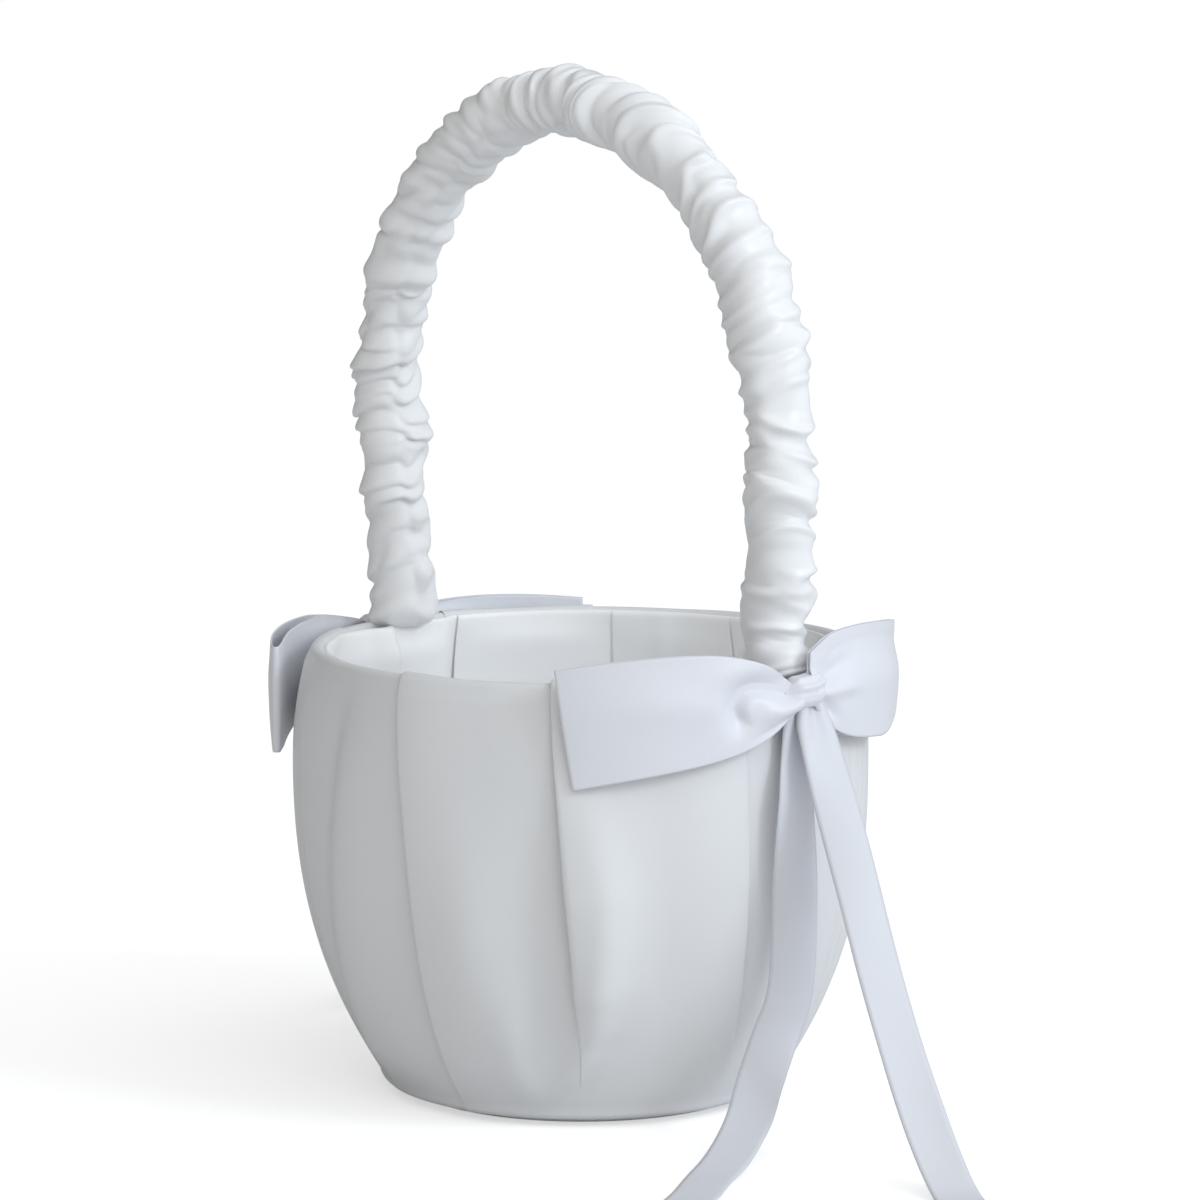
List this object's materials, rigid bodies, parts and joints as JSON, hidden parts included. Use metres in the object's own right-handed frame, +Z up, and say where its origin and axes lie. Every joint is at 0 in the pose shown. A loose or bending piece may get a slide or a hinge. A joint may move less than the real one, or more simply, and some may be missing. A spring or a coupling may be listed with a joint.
{
  "type": "flower girl basket",
  "caption": "Small satin covered bucket basket with a ruched arch handle and a ribbon bow with long tails over each handle foot.",
  "frame": {"origin": "centre of the underside of the base cover, where the basket stands", "axes": "+Z up, handle feet and bows on the X axis, +X towards the bow whose tails run forward"},
  "size_m": [0.2799, 0.1919, 0.2272],
  "materials": {
    "cover_satin": "white satin, soft sheen",
    "lining_satin": "white satin, soft sheen",
    "sleeve_satin": "white satin, gathered",
    "ribbon_satin": "white single-face satin ribbon",
    "bucket_plastic": "plain moulded",
    "handle_plastic": "plain strip",
    "rivet_aluminium": "plain",
    "thread": "white sewing thread"
  },
  "bodies": {
    "basket": {"base_cover": "cover_satin", "outer_cover": "cover_satin", "bucket_core": "bucket_plastic", "lining": "lining_satin", "lining_floor": "lining_satin", "handle_core": "handle_plastic", "handle_sleeve": "sleeve_satin", "rivet_front_lower": "rivet_aluminium", "rivet_front_upper": "rivet_aluminium", "rivet_back_lower": "rivet_aluminium", "rivet_back_upper": "rivet_aluminium", "bow_front_loop_left": "ribbon_satin", "bow_front_loop_right": "ribbon_satin", "bow_front_knot": "ribbon_satin", "bow_front_thread": "thread", "bow_back_loop_left": "ribbon_satin", "bow_back_loop_right": "ribbon_satin", "bow_back_knot": "ribbon_satin", "bow_back_thread": "thread"},
    "front_tail_left": {"bow_front_tail_left": "ribbon_satin"},
    "front_tail_right": {"bow_front_tail_right": "ribbon_satin"},
    "back_tail_left": {"bow_back_tail_left": "ribbon_satin"},
    "back_tail_right": {"bow_back_tail_right": "ribbon_satin"}
  },
  "joints": [
    {"name": "front_tail_left_sweep", "type": "hinge", "parent": "basket", "child": "front_tail_left", "pos_m": [0.0662, -0.0034, 0.0912], "axis": [0, 0, 1], "range_deg": [-6, 8]},
    {"name": "front_tail_right_sweep", "type": "hinge", "parent": "basket", "child": "front_tail_right", "pos_m": [0.0682, -0.0016, 0.0912], "axis": [0, 0, 1], "range_deg": [-5, 35]},
    {"name": "back_tail_left_sweep", "type": "hinge", "parent": "basket", "child": "back_tail_left", "pos_m": [-0.0662, 0.0034, 0.0912], "axis": [0, 0, 1], "range_deg": [-6, 8]},
    {"name": "back_tail_right_sweep", "type": "hinge", "parent": "basket", "child": "back_tail_right", "pos_m": [-0.0682, 0.0016, 0.0912], "axis": [0, 0, 1], "range_deg": [-5, 35]}
  ]
}
